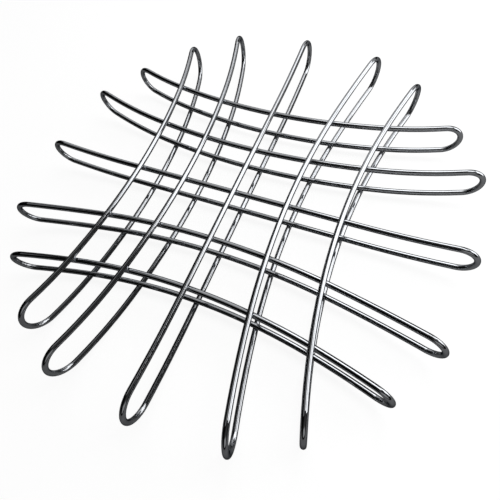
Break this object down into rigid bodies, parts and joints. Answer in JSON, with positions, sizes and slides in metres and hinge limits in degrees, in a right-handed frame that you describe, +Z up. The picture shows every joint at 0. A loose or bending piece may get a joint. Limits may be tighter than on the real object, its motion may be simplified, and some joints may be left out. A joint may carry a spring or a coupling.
{
  "type": "trivet",
  "caption": "Round wire trivet: closed chromed loops on edge, crossed and welded into an open lattice, with rounded tips fanned out to a circle.",
  "frame": {"origin": "on the table under the middle of the lattice", "axes": "+Z up from the table, +X to the right along the low loops, +Y to the back along the tall loops"},
  "size_m": [0.2138, 0.2138, 0.0242],
  "materials": {
    "chromed_wire": "bright nickel and chrome plate on drawn steel wire"
  },
  "bodies": {
    "root": {"tall_loop_left_outer": "chromed_wire", "tall_loop_left_inner": "chromed_wire", "tall_loop_middle": "chromed_wire", "tall_loop_right_inner": "chromed_wire", "tall_loop_right_outer": "chromed_wire", "low_loop_front_outer": "chromed_wire", "low_loop_front_inner": "chromed_wire", "low_loop_middle": "chromed_wire", "low_loop_back_inner": "chromed_wire", "low_loop_back_outer": "chromed_wire"}
  },
  "joints": []
}
